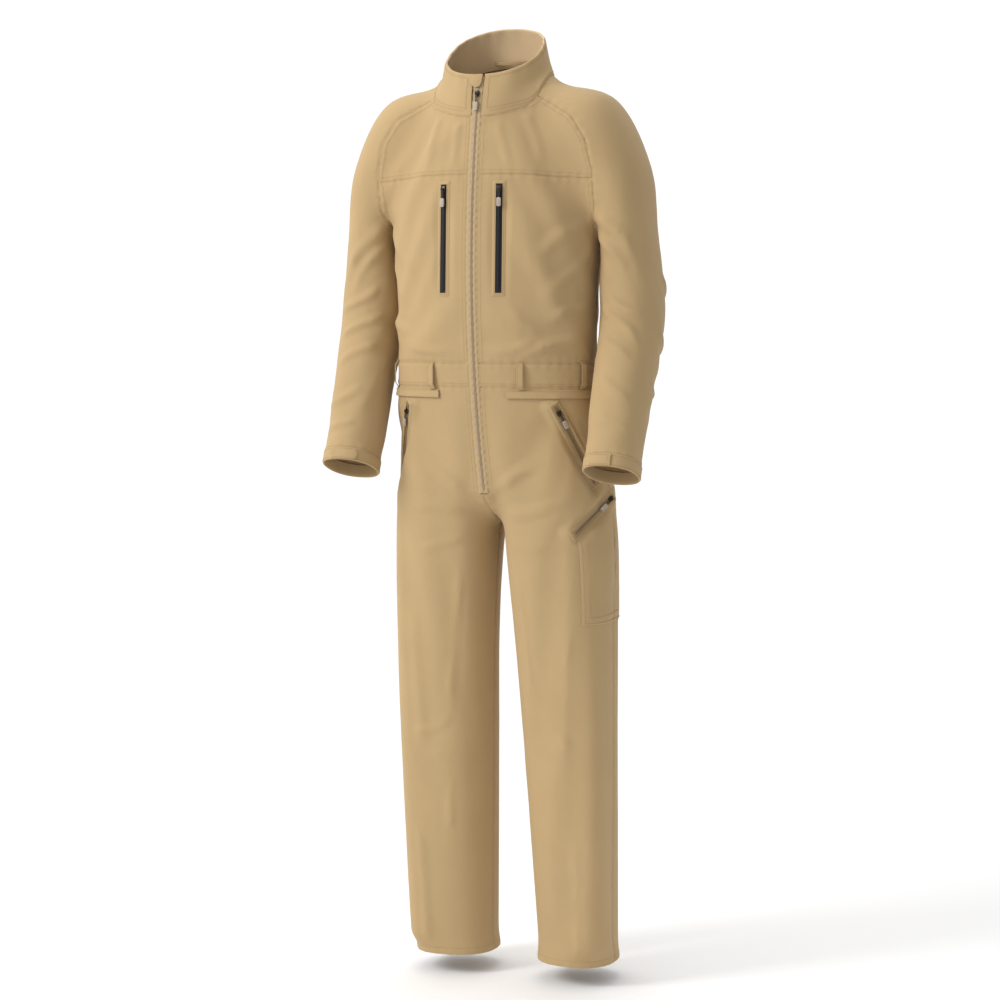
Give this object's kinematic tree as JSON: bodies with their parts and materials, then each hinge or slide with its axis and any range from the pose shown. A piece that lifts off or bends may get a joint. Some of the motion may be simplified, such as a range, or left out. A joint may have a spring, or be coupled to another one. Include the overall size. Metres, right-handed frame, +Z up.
{
  "type": "beekeeping suit",
  "caption": "One-piece zip-front work suit with a stand collar, raglan sleeves, zipped pockets, belted waist and adjustable cuffs.",
  "frame": {"origin": "middle of the neck opening at shoulder level, where the wearer or a form holds the suit up", "axes": "+Z up, the front faces -Y, the wearer's left is +X"},
  "size_m": [0.554, 0.2957, 1.5371],
  "materials": {
    "suit_cloth": "matte",
    "tab_cloth": "matte",
    "inner_cloth": "matte",
    "front_tape": "matte",
    "front_coil": "satin",
    "dark_zip": "satin",
    "tan_zip": "matte",
    "hanger_tape": "matte",
    "slider_metal": "satin",
    "pull_end": "matte"
  },
  "bodies": {
    "torso": {"front_yoke_right": "suit_cloth", "front_panel_right": "suit_cloth", "waistband_front_right": "suit_cloth", "front_yoke_left": "suit_cloth", "front_panel_left": "suit_cloth", "waistband_front_left": "suit_cloth", "back_yoke": "suit_cloth", "back_panel": "suit_cloth", "waistband_back": "suit_cloth", "trouser_front_right": "suit_cloth", "trouser_back_right": "suit_cloth", "trouser_front_left": "suit_cloth", "trouser_back_left": "suit_cloth", "collar_outer": "suit_cloth", "collar_lining": "inner_cloth", "seat_zip_flap": "suit_cloth", "seat_zip": "tan_zip", "front_zip_tapes": "front_tape", "front_zip_coil": "front_coil", "wind_flap": "inner_cloth", "chest_zip_right": "dark_zip", "chest_zip_left": "dark_zip", "chest_pocket_bags": "inner_cloth", "hand_zip_right": "tan_zip", "hand_zip_left": "tan_zip", "hand_pocket_bags": "inner_cloth", "thigh_zip": "tan_zip", "thigh_pocket": "suit_cloth", "belt_loops": "suit_cloth", "zip_garage": "suit_cloth", "hanger_loop": "hanger_tape"},
    "front_zip_slider": {"front_zip_slider": "slider_metal"},
    "front_zip_pull": {"front_zip_pull": "pull_end"},
    "chest_zip_right_slider": {"chest_zip_right_slider": "slider_metal"},
    "chest_zip_right_pull": {"chest_zip_right_pull": "pull_end"},
    "chest_zip_left_slider": {"chest_zip_left_slider": "slider_metal"},
    "chest_zip_left_pull": {"chest_zip_left_pull": "pull_end"},
    "hand_zip_right_slider": {"hand_zip_right_slider": "slider_metal"},
    "hand_zip_right_pull": {"hand_zip_right_pull": "pull_end"},
    "hand_zip_left_slider": {"hand_zip_left_slider": "slider_metal"},
    "hand_zip_left_pull": {"hand_zip_left_pull": "pull_end"},
    "thigh_zip_slider": {"thigh_zip_slider": "slider_metal"},
    "thigh_zip_pull": {"thigh_zip_pull": "pull_end"},
    "upper_arm_left": {"sleeve_upper_left": "suit_cloth"},
    "forearm_left": {"sleeve_lower_left": "suit_cloth", "cuff_band_left": "suit_cloth"},
    "cuff_tab_left": {"cuff_tab_left": "tab_cloth"},
    "lower_leg_left": {"lower_leg_front_left": "suit_cloth", "lower_leg_back_left": "suit_cloth"},
    "upper_arm_right": {"sleeve_upper_right": "suit_cloth"},
    "forearm_right": {"sleeve_lower_right": "suit_cloth", "cuff_band_right": "suit_cloth"},
    "cuff_tab_right": {"cuff_tab_right": "tab_cloth"},
    "lower_leg_right": {"lower_leg_front_right": "suit_cloth", "lower_leg_back_right": "suit_cloth"}
  },
  "joints": [
    {"name": "front_zip_travel", "type": "hinge", "parent": "torso", "child": "front_zip_slider", "pos_m": [0, 1.178, -0.284], "axis": [1, 0, 0], "range_deg": [0, 27.3]},
    {"name": "front_zip_pull_swing", "type": "hinge", "parent": "front_zip_slider", "child": "front_zip_pull", "pos_m": [0, -0.09975, -0.0148], "axis": [-1, 0, 0], "range_deg": [0, 150]},
    {"name": "chest_zip_right_travel", "type": "slide", "parent": "torso", "child": "chest_zip_right_slider", "axis": [0, -0.0294, -0.9996], "range_m": [0, 0.154]},
    {"name": "chest_zip_right_pull_swing", "type": "hinge", "parent": "chest_zip_right_slider", "child": "chest_zip_right_pull", "pos_m": [-0.05081, -0.11892, -0.16583], "axis": [-0.9903, 0.139, -0.0041], "range_deg": [0, 150]},
    {"name": "chest_zip_left_travel", "type": "slide", "parent": "torso", "child": "chest_zip_left_slider", "axis": [0, -0.0297, -0.9996], "range_m": [0, 0.154]},
    {"name": "chest_zip_left_pull_swing", "type": "hinge", "parent": "chest_zip_left_slider", "child": "chest_zip_left_pull", "pos_m": [0.0457, -0.11957, -0.16583], "axis": [-0.9926, -0.1213, 0.0036], "range_deg": [0, 150]},
    {"name": "hand_zip_right_travel", "type": "slide", "parent": "torso", "child": "hand_zip_right_slider", "axis": [-0.2775, 0.4687, -0.8387], "range_m": [0, 0.10216]},
    {"name": "hand_zip_right_pull_swing", "type": "hinge", "parent": "hand_zip_right_slider", "child": "hand_zip_right_pull", "pos_m": [-0.13465, -0.07841, -0.52121], "axis": [-0.6299, 0.5703, 0.5272], "range_deg": [0, 150]},
    {"name": "hand_zip_left_travel", "type": "slide", "parent": "torso", "child": "hand_zip_left_slider", "axis": [0.2775, 0.4687, -0.8387], "range_m": [0, 0.10216]},
    {"name": "hand_zip_left_pull_swing", "type": "hinge", "parent": "hand_zip_left_slider", "child": "hand_zip_left_pull", "pos_m": [0.13465, -0.07841, -0.52121], "axis": [-0.6299, -0.5703, -0.5272], "range_deg": [0, 150]},
    {"name": "thigh_zip_travel", "type": "slide", "parent": "torso", "child": "thigh_zip_slider", "axis": [-0.4008, -0.7038, -0.5865], "range_m": [0, 0.0843]},
    {"name": "thigh_zip_pull_swing", "type": "hinge", "parent": "thigh_zip_slider", "child": "thigh_zip_pull", "pos_m": [0.19082, 0.01148, -0.66167], "axis": [-0.2948, -0.5071, 0.8099], "range_deg": [0, 150]},
    {"name": "shoulder_left", "type": "hinge", "parent": "torso", "child": "upper_arm_left", "pos_m": [0.2, 0.006, -0.185], "axis": [0, -1, 0], "range_deg": [0, 70], "deforming": ["sleeve_upper_left"]},
    {"name": "elbow_left", "type": "hinge", "parent": "upper_arm_left", "child": "forearm_left", "pos_m": [0.227, 0.008, -0.346], "axis": [-1, 0, 0], "range_deg": [0, 90], "deforming": ["sleeve_lower_left"]},
    {"name": "cuff_tab_left_peel", "type": "hinge", "parent": "forearm_left", "child": "cuff_tab_left", "pos_m": [0.23, -0.13561, -0.58813], "axis": [0, 0.361, 0.9326], "range_deg": [0, 110]},
    {"name": "knee_left", "type": "hinge", "parent": "torso", "child": "lower_leg_left", "pos_m": [0.105, 0.049, -1.04], "axis": [1, 0, 0], "range_deg": [0, 80], "deforming": ["lower_leg_front_left", "lower_leg_back_left"]},
    {"name": "shoulder_right", "type": "hinge", "parent": "torso", "child": "upper_arm_right", "pos_m": [-0.2, 0.006, -0.185], "axis": [0, 1, 0], "range_deg": [0, 70], "deforming": ["sleeve_upper_right"]},
    {"name": "elbow_right", "type": "hinge", "parent": "upper_arm_right", "child": "forearm_right", "pos_m": [-0.227, 0.008, -0.346], "axis": [-1, 0, 0], "range_deg": [0, 90], "deforming": ["sleeve_lower_right"]},
    {"name": "cuff_tab_right_peel", "type": "hinge", "parent": "forearm_right", "child": "cuff_tab_right", "pos_m": [-0.23, -0.13561, -0.58813], "axis": [0, -0.361, -0.9326], "range_deg": [0, 110]},
    {"name": "knee_right", "type": "hinge", "parent": "torso", "child": "lower_leg_right", "pos_m": [-0.105, 0.049, -1.04], "axis": [1, 0, 0], "range_deg": [0, 80], "deforming": ["lower_leg_front_right", "lower_leg_back_right"]}
  ]
}
